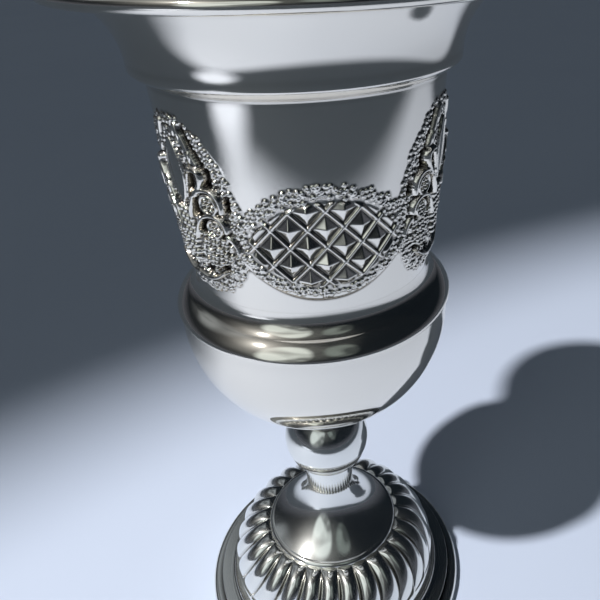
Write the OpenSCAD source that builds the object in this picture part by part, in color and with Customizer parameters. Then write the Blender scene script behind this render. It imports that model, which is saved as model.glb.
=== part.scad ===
// Footed goblet with a flared mouth, an embossed wall, a collar, a round bowl,
// a knop and a gadrooned foot. A rod from the bowl to a nut under the foot
// clamps the stack together. Millimetres, +Z up, origin on the table under
// the middle of the foot. The front of the goblet faces -Y.

/* [Mouth] */
// Radius of the lip wire's centre line
lip_r = 36.6; // [34:0.1:40]
// Radius of the lip wire's section
lip_wire_r = 0.95; // [0.8:0.05:1.3]
// Height from the step to the lip wire's centre
mouth_h = 10.6; // [8:0.05:14]
// Radius of the flare's lower edge, at the step
step_r = 27.4; // [26.4:0.1:28]
// Height of the rounded step under the flare
step_h = 2.6; // [2:0.1:4]
// Height of the step's rounded edge
step_bead_h = 0.4; // [0.25:0.05:0.6]
// Lean of the flare, from upright, where the brim begins
flare_lean = 38; // [30:1:45]
// Width of the brim, from the flare out to the lip wire
brim_w = 4.6; // [3.8:0.1:5.4]
// Height over which the brim turns level
brim_h = 1; // [0.8:0.05:1.3]

/* [Wall] */
// Radius of the wall just below the step
wall_top_r = 25; // [24.4:0.1:26]
// Radius of the wall where it enters the collar
wall_bottom_r = 22.8; // [22:0.1:24.2]
// Height of the wall from the bowl's shoulder to the step
wall_h = 45.1; // [40:0.1:52]
// Sheet thickness of the beaker
beaker_t = 0.9; // [0.7:0.05:1.2]

/* [Lattice panels] */
// Number of lattice panels round the wall, and of grape panels between them
panel_count = 3; // [1:1:4]
// Direction of the first panel's middle, from +X towards +Y
panel_turn = -84.5; // [-180:0.5:180]
// Height of the panels' middle above the bowl's shoulder
panel_mid_h = 20.5; // [19:0.1:22]
// Width of one diamond along the wall
diamond_w = 5.6; // [4:0.1:8]
// Height of one diamond
diamond_h = 6; // [4:0.1:7]
// How far the diamonds' points stand out of the wall
diamond_rise = 0.9; // [0.3:0.05:1.2]
// How far the bars between the diamonds stand out of the wall
bar_rise = 0.25; // [0.1:0.05:0.6]
// Half width of the panel's oval outline
panel_half_w = 12.2; // [8:0.1:13]
// Half height of the panel's oval outline
panel_half_h = 8.2; // [7:0.1:12]

/* [Grape panels] */
// How far the vine's stems stand out of the wall
vine_rise = 1.1; // [0.5:0.05:1.4]
// How far the clusters of grapes stand out of the wall
cluster_rise = 0.65; // [0.3:0.05:1]
// How far the smooth leaf in the middle stands out of the wall
leaf_rise = 0.7; // [0.3:0.05:1]
// How far the punched ground stands out of the wall
ground_rise = 0.25; // [0.1:0.05:0.4]
// Spacing of the points that a grape panel is drawn with
vine_step = 1.1; // [0.9:0.05:1.4]

/* [Collar] */
// Largest radius of the collar ring
collar_r = 27.5; // [27.2:0.1:30]
// Height of the collar ring
collar_h = 7.6; // [6:0.1:9]
// Height of the collar's convex part
collar_round_h = 3.4; // [2.8:0.1:4.4]
// Height of the collar's rounded lower edge
collar_nose_h = 0.4; // [0.2:0.05:0.8]
// Width of the collar's upper ledge, out from the wall
collar_ledge_w = 2; // [1:0.1:2.4]
// Thickness of the collar's thin upper edge
collar_edge_t = 0.2; // [0.1:0.05:0.5]

/* [Bowl] */
// Outer radius of the bowl at its shoulder
bowl_r = 27.1; // [25.5:0.1:29]
// Height of the straight band above the bowl's round part
bowl_band_h = 3.6; // [2:0.1:8]
// Radius of the bowl's flat bottom
bowl_flat_r = 8; // [7.5:0.1:10]
// Sheet thickness of the bowl
bowl_t = 0.9; // [0.7:0.05:1.2]
// Height of the spigot that stands up inside the beaker
bowl_spigot_h = 5; // [3:0.1:8]

/* [Knop] */
// Radius of the knop's ball
knop_r = 10; // [8.5:0.05:12]
// Radius of the knop's top edge, under the bowl
knop_top_r = 7.2; // [6.8:0.1:7.4]
// Radius where the ball passes into the throat above it
throat_r = 6.4; // [6.3:0.1:7]
// Height of the throat between the ball and the bowl
throat_h = 5.4; // [3:0.1:8]
// Height of the plain edge under the ball
knop_edge_h = 0.4; // [0.2:0.1:1.5]
// Sheet thickness of the knop
knop_t = 1; // [0.8:0.05:1.2]
// Length of the knop's spigot inside the neck
knop_spigot_h = 3; // [2:0.1:5]

/* [Stem] */
// Outer radius of the neck
neck_r = 5.8; // [5.5:0.1:7]
// Height of the neck's straight part
neck_h = 6.2; // [5.2:0.1:9]
// Radius of the stem's base
stem_base_r = 15.6; // [14.8:0.1:18]
// Height of the stem from its base to the neck's top
stem_h = 21; // [18:0.1:26]
// Sheet thickness of the stem
stem_t = 1; // [0.8:0.05:1.3]
// Width of the bead wire round the stem's base
bead_w = 1.2; // [0.8:0.05:2]
// Height of the bead wire
bead_h = 1.3; // [0.8:0.05:2]

/* [Foot] */
// Height of the gadrooned band from the rim's seat to its ledge
band_h = 17.2; // [14:0.1:22]
// Radius where the gadroons end, above the cove
band_end_r = 27.6; // [26:0.1:28.4]
// Radius of the band's lower edge, in the rim's seat
band_foot_r = 29.3; // [29:0.1:30]
// Height of the cove between the gadroons and the rim
band_cove_h = 2.6; // [1.8:0.1:4]
// Fullness of the band's dome, as a share of its height and width
band_full = 0.45; // [0.3:0.05:0.6]
// Sheet thickness of the band
band_t = 1; // [0.8:0.05:1.4]
// Width of the ledge that the stem stands on
ledge_w = 3.4; // [2.6:0.1:5]
// Number of gadroons
gadroon_count = 28; // [20:1:36]
// Height of a gadroon above the band
gadroon_rise = 1.5; // [0.6:0.1:2.2]
// Sweep of a gadroon from its top to its bottom, in degrees
gadroon_sweep = -10; // [-30:1:30]
// Sideways bow of a gadroon, in degrees
gadroon_bow = 5; // [-12:1:12]
// Share of the dome's run that a gadroon covers before its rounded end
gadroon_reach = 0.82; // [0.7:0.02:1]
// Outer radius of the foot rim
rim_r = 34.4; // [34:0.1:38]
// Height of the rim's seat for the band
rim_seat_h = 4; // [3.4:0.1:6]
// How far the rim's upper step stands above that seat
rim_lip_h = 0.8; // [0.4:0.05:1.4]
// Height of the rim's lower step
rim_step_h = 3; // [2.4:0.1:3.4]
// Width of the rim's upper step
rim_step_w = 2.3; // [1.6:0.1:2.8]
// Width of the seat under the band's edge
rim_seat_w = 1.6; // [1.4:0.1:2.4]
// Width of the flat that stands on the table
rim_base_w = 2.2; // [1.6:0.1:3]
// How far the rim's inner part stays off the table
rim_lift = 0.8; // [0.4:0.1:1.4]

/* [Rod and nut] */
// Radius of the rod
rod_r = 2.5; // [2:0.1:3]
// Radial gap between the rod and the threads it runs in
thread_gap = 0.05; // [0.02:0.01:0.1]
// Thread pitch of the nut
thread_pitch = 0.8; // [0.5:0.1:1]
// Turns that the nut can be backed off
nut_turns = 5; // [1:1:6]
// Thread left below the nut when it is backed off
rod_spare = 1; // [0.5:0.1:2]
// Radius of the boss under the bowl
boss_r = 4.7; // [4.2:0.1:4.9]
// Height of the boss
boss_h = 4; // [3:0.1:6]
// Radial gap between the rod and plain holes
hole_gap = 0.25; // [0.1:0.05:0.5]
// Thickness of the clamp plate
plate_t = 1.2; // [0.8:0.1:2]
// Depth of the clamp plate's dish
plate_dish = 2; // [1:0.1:3]
// Radius of the clamp plate's flat hub
plate_hub_r = 6; // [5.4:0.1:8]
// Width of the clamp plate's rim that bears on the ledge
plate_rim_w = 2; // [1.2:0.1:2.6]
// Radius of the lock washer
washer_r = 4.5; // [4.2:0.1:5.2]
// Thickness of the lock washer
washer_t = 1.2; // [0.8:0.1:1.6]
// Width of the lock washer's cut
washer_cut = 0.8; // [0.4:0.1:1.4]
// Width of the nut across its flats
nut_flats = 8; // [7:0.1:10]
// Height of the nut
nut_h = 4; // [3:0.1:6]

/* [Hidden] */

// Facets that stand for a full circle, flats on the nut, and steps along one curve
round_fn = 96;
nut_sides = 6;
curve_n = 12;

// Places across one gadroon, rows down it and rows down the cove under it
gadroon_spots = 6;
gadroon_rows = 9;
cove_rows = 3;

// Heights of the joints, from the table up
ledge_z = rim_seat_h + band_h;
neck_z = ledge_z + stem_h;
knop_z = neck_z + knop_edge_h + sqrt(knop_r * knop_r - neck_r * neck_r);
throat_z = knop_z + sqrt(knop_r * knop_r - throat_r * throat_r);
bowl_z = throat_z + throat_h;
bowl_round_z = bowl_z + sqrt(bowl_r * bowl_r - bowl_flat_r * bowl_flat_r);
shoulder_z = bowl_round_z + bowl_band_h;
collar_z = shoulder_z + collar_h;
step_z = shoulder_z + wall_h;
lip_z = step_z + mouth_h;
panel_z = shoulder_z + panel_mid_h;

// How deep a panel's back lies in the sheet, and how far a panel's sunk edge runs past its outline
patch_depth = beaker_t / 2;
patch_margin = 0.5;
lattice_reach = panel_half_w + patch_margin;

// The lip wire has a flat that covers the sheet's edge, with a little to spare
lip_flat_spare = 0.12;
lip_flat_half = beaker_t / 2 + lip_flat_spare;
lip_seat_r = lip_r - sqrt(lip_wire_r * lip_wire_r - lip_flat_half * lip_flat_half);

// Radii and heights that one piece takes from another
spigot_r = wall_bottom_r - beaker_t;
neck_bore_r = neck_r - stem_t;
bead_r = stem_base_r + bead_w;
ledge_margin = 0.2;
band_top_r = bead_r + ledge_margin;
ledge_in_r = band_top_r - ledge_w;
ledge_under_z = ledge_z - band_t;
cove_z = rim_seat_h + band_cove_h;
rim_step_r = band_foot_r + rim_step_w;

// The clamp stack hangs under the ledge
plate_r = ledge_in_r + plate_rim_w;
hub_z = ledge_under_z - plate_dish;
washer_z = hub_z - plate_t;
nut_z = washer_z - washer_t;
nut_travel = nut_turns * thread_pitch;
rod_end_z = nut_z - nut_h - nut_travel - rod_spare;

// Shape factors of the curves, as shares of the run that each one bends over
soft = 0.5;
full = 0.75;
hold = 0.35;
slope = 0.08;
cove_soft = 0.4;

// Power that keeps a gadroon full along most of its length
swell_power = 0.6;

// Half width of a grape panel at heights above its middle
grape_outline = [[-9.6, 7.8], [-7.8, 9.4], [-5, 10.2], [12.2, 10], [16.2, 7.8], [20, 5.4], [21, 2.6]];

// Right half of the vine: the path of each stem over the wall and its half width
vine_n = 6;
vine = [[[[2.3, 17.7], [3.8, 14.5], [5.2, 12.2]], 1],
        [bez([4.1, 11.6], [7, 12.2], [6.4, 9.2], [4.2, 7.6], vine_n), 0.9],
        [bez([2, 3.2], [2.6, 9], [9.6, 10.8], [9, 5.4], vine_n), 0.8],
        [bez([2.2, -0.6], [3.2, 5.2], [9.4, 5.6], [9.2, 2], vine_n), 0.75],
        [bez([0.3, -8.3], [3.4, -8.9], [5.4, -7.6], [6.9, -6.2], vine_n), 0.75]];

// Rosettes and clusters in the right half: middle and half size
rosettes = [[[6.5, 6.1], [1.95, 1.95]], [[6.9, 2.1], [1.7, 1.7]], [[0, -0.6], [1.8, 5.2]]];
clusters = [[[6.5, -2.4], [4, 3.8]]];

// The smooth pointed leaf: its lowest and highest point and half width
leaf_low = 4.8;
leaf_high = 15.8;
leaf_half_w = 2.3;

function bez(a, b, c, d, n = curve_n) =
    [for (i = [0:n]) let (t = i / n, s = 1 - t)
        s * s * s * a + 3 * s * s * t * b + 3 * s * t * t * c + t * t * t * d];
function arc(centre, r, from, to, n = curve_n) =
    [for (i = [0:n]) let (a = from + (to - from) * i / n) centre + r * [cos(a), sin(a)]];
function reversed(list) = [for (i = [len(list) - 1:-1:0]) list[i]];
function rest(list) = [for (i = [1:len(list) - 1]) list[i]];
function mix(a, b, t) = a + (b - a) * t;

// A curve moved sideways by t, to the left of its run
function inset(path, t) =
    [for (i = [0:len(path) - 1])
        let (back = path[max(i - 1, 0)], ahead = path[min(i + 1, len(path) - 1)],
             run = (ahead - back) / norm(ahead - back))
        path[i] + t * [-run[1], run[0]]];

// The same for a curve that starts and ends on level cut edges
function level_inset(path, t) =
    let (inner = inset(path, t), last = len(path) - 1)
    [for (i = [0:last]) i == 0 || i == last ? path[i] - [t, 0] : inner[i]];

// Outer radius of the tapered wall at a height
function wall_r(z) = mix(wall_bottom_r, wall_top_r, (z - collar_z) / (step_z - step_h - collar_z));

// Underside of the flare, from the step up to the brim and out to the lip wire's flat
function flare_path() =
    let (edge_z = lip_z - beaker_t / 2, turn = [lip_seat_r - brim_w, edge_z - brim_h],
         lean = [sin(flare_lean), cos(flare_lean)])
    concat(bez([step_r, step_z], [step_r, mix(step_z, turn[1], soft)],
               turn - lean * hold * (turn[1] - step_z), turn),
           rest(bez(turn, turn + lean * soft * brim_h, [mix(turn[0], lip_seat_r, soft), edge_z],
                    [lip_seat_r, edge_z])));

module revolve(points) {
    rotate_extrude($fn = round_fn) polygon(points);
}

// Rolled wire that stiffens the mouth
module lip_wire() {
    flat_angle = 180 - asin(lip_flat_half / lip_wire_r);
    color("silver") revolve(arc([lip_r, lip_z], lip_wire_r, flat_angle, -flat_angle, 2 * curve_n));
}

// A patch of the wall from rows of heights above it, sunk into the sheet all round
module wall_patch(across, up, lifts) {
    wide = len(across);
    tall = len(up);
    function spot(a, b, lift) =
        let (z = panel_z + up[b], r = wall_r(z) + lift, turn = across[a] / wall_r(panel_z) * 180 / PI)
        [r * cos(turn), r * sin(turn), z];
    function at(a, b) = b * wide + a;
    function low(a) = tall * wide + a;
    function high(a) = (tall + 1) * wide + a;
    points = [for (b = [0:tall - 1], a = [0:wide - 1]) spot(a, b, lifts[b][a]),
              for (b = [0, tall - 1], a = [0:wide - 1]) spot(a, b, -patch_depth)];
    // Each cell is cut along its more level diagonal, the lower one if both are level
    front = [for (b = [0:tall - 2], a = [0:wide - 2])
        let (p = at(a, b), q = at(a + 1, b), s = at(a, b + 1), t = at(a + 1, b + 1),
             rise_pt = abs(lifts[b][a] - lifts[b + 1][a + 1]),
             rise_qs = abs(lifts[b][a + 1] - lifts[b + 1][a]),
             high_pt = lifts[b][a] + lifts[b + 1][a + 1],
             high_qs = lifts[b][a + 1] + lifts[b + 1][a])
        each rise_qs < rise_pt || (rise_qs == rise_pt && high_qs <= high_pt) ?
            [[p, s, q], [q, s, t]] : [[p, t, q], [p, s, t]]];
    back = [for (a = [0:wide - 2]) [low(a), low(a + 1), high(a + 1), high(a)]];
    ends = [for (a = [0:wide - 2])
        each [[at(a, 0), at(a + 1, 0), low(a + 1), low(a)],
              [at(a + 1, tall - 1), at(a, tall - 1), high(a), high(a + 1)]]];
    sides = [concat([low(0), high(0)], [for (b = [tall - 1:-1:0]) at(0, b)]),
             concat([for (b = [0:tall - 1]) at(wide - 1, b)], [high(wide - 1), low(wide - 1)])];
    polyhedron(points, concat(front, back, ends, sides));
}

// Raised diamonds on an oval patch of the wall
module lattice_panel() {
    cols = floor(2 * panel_half_w / diamond_w) + 1;
    rows = floor(2 * panel_half_h / diamond_h) + 1;
    across = [for (i = [-cols:cols]) abs(i) == cols ? sign(i) * lattice_reach : i * diamond_w / 2];
    edge_up = panel_half_h + patch_margin;
    up = [for (j = [-rows:rows]) abs(j) == rows ? sign(j) * edge_up : j * diamond_h / 2];
    function lift(i, j) =
        norm([across[i + cols] / panel_half_w, up[j + rows] / panel_half_h]) >= 1 ? -patch_depth / 2 :
        (i + j) % 2 == 0 ? diamond_rise : bar_rise;
    wall_patch(across, up, [for (j = [-rows:rows]) [for (i = [-cols:cols]) lift(i, j)]]);
}

// Distance from a point to the line between two others
function gap(p, a, b) =
    let (run = b - a, t = max(0, min(1, (p - a) * run / (run * run)))) norm(p - a - t * run);

// Height, as a share of the full rise, of a rounded form at a distance counted in half widths
function dome(d) = d < 1 ? sqrt(1 - d * d) : 0;

// Vine, rosettes, grapes and a smooth leaf on a drop-shaped patch of the wall
module grape_panel() {
    last = len(grape_outline) - 1;
    widest = max([for (row = grape_outline) row[1]]);
    room = wall_r(panel_z) * PI / panel_count - lattice_reach - patch_margin;
    cols = floor(min(widest + vine_step, room) / vine_step);
    low = floor(max(grape_outline[0][0], collar_z + vine_step - panel_z) / vine_step);
    headroom = step_z - step_h - patch_margin - panel_z;
    high = ceil(min(grape_outline[last][0] + vine_step, headroom) / vine_step) - 1;
    function inside(i, j) =
        abs(i) < cols && j > low && j < high && abs(i) * vine_step <= lookup(j * vine_step, grape_outline);
    function stem(p) =
        max([for (run = vine, i = [1:len(run[0]) - 1]) dome(gap(p, run[0][i - 1], run[0][i]) / run[1])]);
    function mound(p, list) =
        max([for (m = list) dome(norm([(p[0] - m[0][0]) / m[1][0], (p[1] - m[0][1]) / m[1][1]]))]);
    function leaf(p) =
        let (t = (p[1] - leaf_low) / (leaf_high - leaf_low))
        t <= 0 || t >= 1 ? 0 : p[0] < leaf_half_w * sin(180 * t) ? 1 : 0;
    function lift(i, j) =
        let (p = [abs(i), j] * vine_step)
        inside(i, j) ? max(ground_rise, vine_rise * stem(p), vine_rise * mound(p, rosettes),
                           cluster_rise * ceil(mound(p, clusters)), leaf_rise * leaf(p)) : -patch_depth / 2;
    across = [for (i = [-cols:cols]) i * vine_step];
    up = [for (j = [low:high]) j * vine_step];
    wall_patch(across, up, [for (j = [low:high]) [for (i = [-cols:cols]) lift(i, j)]]);
}

// Flared mouth, step and tapered wall in one sheet, with the panels struck in it
module beaker() {
    step_low = step_z - step_h;
    edge = [step_r - step_bead_h / 2, step_z - 2 * step_bead_h];
    reach = (edge[0] - wall_top_r) / 2;
    bevel = step_bead_h / 3;
    flare = flare_path();
    cylinder_end = [[wall_bottom_r, shoulder_z], [wall_bottom_r, collar_z]];
    step = concat(bez([wall_top_r, step_low], [wall_top_r, mix(step_low, edge[1], soft)],
                      edge - [reach, reach], edge),
                  rest(bez(edge, edge + [bevel, bevel], [step_r, step_z - step_bead_h - bevel],
                           [step_r, step_z - step_bead_h])));
    skin = concat(cylinder_end, step, flare);
    smooth = concat(cylinder_end, [[wall_top_r, step_low]], flare);
    lining = inset(smooth, beaker_t);
    color("silver") union() {
        revolve(concat(skin, reversed(lining)));
        for (k = [0:panel_count - 1]) {
            rotate([0, 0, panel_turn + k * 360 / panel_count]) lattice_panel();
            rotate([0, 0, panel_turn + (k + 1 / 2) * 360 / panel_count]) grape_panel();
        }
    }
}

// Solid ring over the seam between the beaker and the bowl
module collar_ring() {
    edge_r = wall_bottom_r + collar_edge_t;
    ledge_r = wall_bottom_r + collar_ledge_w;
    round_z = shoulder_z + collar_round_h;
    nose_z = shoulder_z + collar_nose_h;
    bulge = bez([bowl_r, shoulder_z], [collar_r, shoulder_z], [collar_r, shoulder_z], [collar_r, nose_z]);
    shoulder = bez([collar_r, nose_z], [collar_r, mix(nose_z, round_z, 1 - full)],
                   [mix(ledge_r, collar_r, soft), mix(nose_z, round_z, full)], [ledge_r, round_z]);
    fillet = bez([ledge_r, round_z], [mix(edge_r, ledge_r, 1 - full), mix(round_z, collar_z, 1 - full)],
                 [edge_r, mix(round_z, collar_z, soft)], [edge_r, collar_z]);
    color("silver") revolve(concat([[wall_bottom_r, shoulder_z]], bulge, shoulder, fillet,
                                   [[wall_bottom_r, collar_z]]));
}

// Round bowl with a shoulder for the collar and a spigot inside the beaker
module lower_bowl() {
    turn_z = shoulder_z - bowl_t;
    skin = concat(arc([0, bowl_round_z], bowl_r, -acos(bowl_flat_r / bowl_r), 0, 2 * curve_n),
                  [[bowl_r, turn_z]]);
    spigot = [[bowl_r, shoulder_z], [spigot_r, shoulder_z], [spigot_r, shoulder_z + bowl_spigot_h],
              [spigot_r - bowl_t, shoulder_z + bowl_spigot_h], [spigot_r - bowl_t, turn_z]];
    color("silver") revolve(concat([[0, bowl_z]], skin, spigot, reversed(inset(skin, bowl_t)),
                                   [[0, bowl_z + bowl_t]]));
}

// Threaded boss under the bowl
module bowl_boss() {
    color("goldenrod") translate([0, 0, bowl_z - boss_h]) difference() {
        cylinder(r = boss_r, h = boss_h, $fn = round_fn);
        translate([0, 0, -boss_h]) cylinder(r = rod_r + thread_gap, h = 3 * boss_h, $fn = round_fn);
    }
}

// Rod from the bowl down through the stem
module stem_rod() {
    rod_h = bowl_z - rod_end_z;
    color("slategray") translate([0, 0, rod_end_z]) cylinder(r = rod_r, h = rod_h, $fn = round_fn);
}

// Upper half of the hollow knop
module knop_upper() {
    ball = arc([0, knop_z], knop_r, 0, acos(throat_r / knop_r));
    throat = bez([throat_r, throat_z], [throat_r - knop_t, mix(throat_z, bowl_z, soft)],
                 [knop_top_r, mix(throat_z, bowl_z, soft)], [knop_top_r, bowl_z]);
    skin = concat(ball, [for (i = [1:curve_n]) throat[i]]);
    color("silver") revolve(concat(skin, reversed(level_inset(skin, knop_t))));
}

// Lower half of the knop, with the spigot that centres it in the neck
module knop_lower() {
    bore_r = neck_bore_r - knop_t;
    inner_r = knop_r - knop_t;
    ball = arc([0, knop_z], knop_r, -acos(neck_r / knop_r), 0);
    lining = arc([0, knop_z], inner_r, 0, -acos(bore_r / inner_r));
    spigot = [[bore_r, neck_z - knop_spigot_h], [neck_bore_r, neck_z - knop_spigot_h],
              [neck_bore_r, neck_z], [neck_r, neck_z]];
    color("silver") revolve(concat(spigot, ball, lining));
}

// Neck and trumpet of the stem
module stem_cone() {
    skin = concat([[stem_base_r, ledge_z]],
                  bez([stem_base_r, ledge_z + bead_h],
                      [mix(stem_base_r, neck_r, full), mix(ledge_z, neck_z, 1 - full)],
                      [neck_r, mix(ledge_z, neck_z, soft)], [neck_r, neck_z - neck_h]),
                  [[neck_r, neck_z]]);
    color("silver") revolve(concat(skin, reversed(inset(skin, stem_t))));
}

// Half-round wire over the seam between the stem and the band
module bead_wire() {
    top = [for (p = arc([0, 0], 1, 0, 90)) [stem_base_r + bead_w * p[0], ledge_z + bead_h * p[1]]];
    color("silver") revolve(concat([[stem_base_r, ledge_z]], top));
}

// Domed band of swirled gadroons, hollow underneath, with a flat ledge on top
module gadroon_band() {
    around = gadroon_count * gadroon_spots;
    rows = gadroon_rows;
    edge_z = rim_seat_h + rim_lip_h;
    dome = bez([band_top_r, ledge_z],
               [mix(band_top_r, band_end_r, band_full), mix(ledge_z, cove_z, slope)],
               [mix(band_end_r, band_top_r, slope), mix(cove_z, ledge_z, band_full)],
               [band_end_r, cove_z], rows);
    cove = bez([band_end_r, cove_z], [band_end_r, mix(cove_z, rim_seat_h, cove_soft)],
               [mix(band_end_r, band_foot_r, cove_soft), edge_z], [band_foot_r, edge_z], cove_rows);
    under = inset(reversed(dome), band_t);
    out_run = reversed(inset(reversed(dome), -1)) - dome;
    // How far along its height a gadroon has swelled, and its rounded cross-section
    function swell(t) = pow(sin(180 * min(1, t / gadroon_reach)), swell_power);
    function lobe(share) = sqrt(max(0, 1 - pow(2 * share - 1, 2)));
    function sweep(t) = gadroon_sweep * t + gadroon_bow * sin(180 * t);
    function turned(p, angle) = [p[0] * cos(angle), p[0] * sin(angle), p[1]];
    // One closed section of the band at each place round it
    function section(k) =
        let (angle = 360 * k / around, share = (k % gadroon_spots) / gadroon_spots)
        concat([turned([ledge_in_r, ledge_z], angle)],
               [for (i = [0:rows]) let (t = i / rows)
                   turned(dome[i] + gadroon_rise * swell(t) * lobe(share) * out_run[i], angle + sweep(t))],
               [for (i = [1:len(cove) - 1]) turned(cove[i], angle + sweep(1))],
               [turned([band_foot_r, rim_seat_h], angle + sweep(1)),
                turned([band_foot_r - band_t, rim_seat_h], angle + sweep(1))],
               [for (i = [0:3:rows]) let (t = 1 - i / rows) turned(under[i], angle + sweep(t))],
               [turned([ledge_in_r, ledge_under_z], angle)]);
    sections = [for (k = [0:around - 1]) section(k)];
    points = [for (s = sections, p = s) p];
    m = len(sections[0]);
    faces = [for (k = [0:around - 1], i = [0:m - 1])
        let (next = (i + 1) % m, here = k * m, ahead = ((k + 1) % around) * m)
        each [[here + i, here + next, ahead + i], [here + next, ahead + next, ahead + i]]];
    color("silver") polyhedron(points, faces);
}

// Two-stepped ring that the foot stands on
module foot_rim() {
    seat_in_r = band_foot_r - rim_seat_w;
    nose = rim_step_h / 2;
    base_out_r = rim_r - nose;
    base_in_r = base_out_r - rim_base_w;
    top_z = rim_seat_h + rim_lip_h;
    upper_round = rim_lip_h / 2;
    under = [[seat_in_r, rim_lift], [base_in_r - rim_lift, rim_lift], [base_in_r, 0], [base_out_r, 0]];
    upper = bez([rim_step_r, top_z - upper_round], [rim_step_r, top_z], [rim_step_r, top_z],
                [rim_step_r - upper_round, top_z]);
    seat = [[band_foot_r, top_z], [band_foot_r, rim_seat_h], [seat_in_r, rim_seat_h]];
    color("silver") revolve(concat(under, arc([base_out_r, nose], nose, -90, 90),
                                   [[rim_step_r, rim_step_h]], upper, seat));
}

// Dished plate that the nut pulls up against the band's ledge
module clamp_plate() {
    bore_r = rod_r + hole_gap;
    color("darkgray") revolve([[bore_r, hub_z], [plate_hub_r, hub_z], [ledge_in_r, ledge_under_z],
                               [plate_r, ledge_under_z], [plate_r, ledge_under_z - plate_t],
                               [ledge_in_r, ledge_under_z - plate_t], [plate_hub_r, washer_z],
                               [bore_r, washer_z]]);
}

// Split lock washer
module lock_washer() {
    color("darkgray") translate([0, 0, nut_z]) difference() {
        cylinder(r = washer_r, h = washer_t, $fn = round_fn);
        translate([0, 0, -washer_t]) cylinder(r = rod_r + hole_gap, h = 3 * washer_t, $fn = round_fn);
        translate([0, -washer_cut / 2, -washer_t]) cube([2 * washer_r, washer_cut, 3 * washer_t]);
    }
}

// Hexagon nut with its corners turned off
module clamp_nut() {
    corner_r = nut_flats / sqrt(3);
    chamfer = corner_r - nut_flats / 2;
    color("darkgray") translate([0, 0, nut_z - nut_h]) difference() {
        intersection() {
            cylinder(r = corner_r, h = nut_h, $fn = nut_sides);
            revolve([[0, 0], [nut_flats / 2, 0], [corner_r, chamfer], [corner_r, nut_h - chamfer],
                     [nut_flats / 2, nut_h], [0, nut_h]]);
        }
        translate([0, 0, -nut_h]) cylinder(r = rod_r + thread_gap, h = 3 * nut_h, $fn = round_fn);
    }
}

lip_wire();
beaker();
collar_ring();
lower_bowl();
bowl_boss();
stem_rod();
knop_upper();
knop_lower();
stem_cone();
bead_wire();
gadroon_band();
foot_rim();
clamp_plate();
lock_washer();
clamp_nut();
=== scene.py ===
"""Looks of a footed ceremonial goblet in polished silver plate.

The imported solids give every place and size. Each visible sheet piece is replaced by a finer
mesh of the same form, with the struck ornament of the wall and the gadroons of the foot as
real geometry. Sizes in the classes are millimetres, and finished meshes are metres.
"""

import logging
import math
from dataclasses import dataclass, field
from enum import Enum

import bpy
import numpy as np
from mathutils import Matrix, Vector


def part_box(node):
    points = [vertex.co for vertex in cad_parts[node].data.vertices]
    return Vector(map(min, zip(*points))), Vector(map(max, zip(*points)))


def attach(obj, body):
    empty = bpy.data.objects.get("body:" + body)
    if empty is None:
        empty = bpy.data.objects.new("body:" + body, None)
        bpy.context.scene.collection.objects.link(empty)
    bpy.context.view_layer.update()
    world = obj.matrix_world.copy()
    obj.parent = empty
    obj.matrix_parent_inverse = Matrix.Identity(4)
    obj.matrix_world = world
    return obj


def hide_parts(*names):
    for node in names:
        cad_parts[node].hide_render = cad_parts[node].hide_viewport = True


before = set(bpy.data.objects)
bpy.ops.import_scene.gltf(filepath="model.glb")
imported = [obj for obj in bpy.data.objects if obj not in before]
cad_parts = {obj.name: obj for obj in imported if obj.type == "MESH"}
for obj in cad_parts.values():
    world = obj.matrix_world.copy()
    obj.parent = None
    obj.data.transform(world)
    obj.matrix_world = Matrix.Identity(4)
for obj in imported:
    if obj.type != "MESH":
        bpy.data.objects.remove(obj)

MM = 0.001
LOG = logging.getLogger("goblet")

Array = np.ndarray
Pair = tuple[float, float]
Place = tuple[float, float, float]
Colour = tuple[float, float, float]


class Body(Enum):
    """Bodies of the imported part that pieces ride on."""

    GOBLET = "goblet"
    CLAMP = "clamp"
    NUT = "nut"


class Slot(Enum):
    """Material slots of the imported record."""

    SILVER = "silver_plate"
    STEEL = "clamp_steel"


class Side(Enum):
    """Halves of a mirrored ornament."""

    LEFT = -1.0
    RIGHT = 1.0


# Curves in the plane of radius and height


def mix(a: float, b: float, share: float) -> float:
    """Returns the value that lies a share of the way from a to b."""
    return a + (b - a) * share


def bezier(a: Pair, b: Pair, c: Pair, d: Pair, steps: int = 24) -> Array:
    """Samples a cubic curve.

    Args:
        a, b, c, d: The curve's four control points.
        steps: Number of steps along it.

    Returns:
        Points of shape (steps + 1, 2).
    """
    t = np.linspace(0.0, 1.0, steps + 1)[:, None]
    s = 1.0 - t
    p, q, r, e = (np.array(point, float) for point in (a, b, c, d))
    return s**3 * p + 3 * s * s * t * q + 3 * s * t * t * r + t**3 * e


def arc(centre: Pair, radius: float, start: float, stop: float, steps: int = 24) -> Array:
    """Samples an arc of a circle.

    Args:
        centre: Centre of the circle.
        radius: Its radius.
        start, stop: First and last angle in degrees.
        steps: Number of steps along it.

    Returns:
        Points of shape (steps + 1, 2).
    """
    a = np.radians(np.linspace(start, stop, steps + 1))
    return np.stack([centre[0] + radius * np.cos(a), centre[1] + radius * np.sin(a)], axis=1)


def line(*points: Pair) -> Array:
    """Returns the points as an array of shape (count, 2)."""
    return np.array(points, float)


def chain(*runs: Array) -> Array:
    """Joins runs of points and drops points that repeat the one before.

    Args:
        runs: Points of each run, in order.

    Returns:
        The points of one path.
    """
    path = np.vstack(runs)
    keep = np.ones(len(path), bool)
    keep[1:] = np.hypot(*(path[1:] - path[:-1]).T) > 1e-6
    return path[keep]


def offset(path: Array, distance: float) -> Array:
    """Moves a curve sideways, to the left of its run.

    Args:
        path: Points of the curve.
        distance: How far it moves.

    Returns:
        The moved points, as many as before.
    """
    run = np.gradient(path, axis=0)
    run /= np.hypot(run[:, 0], run[:, 1])[:, None]
    return path + distance * np.stack([-run[:, 1], run[:, 0]], axis=1)


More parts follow.
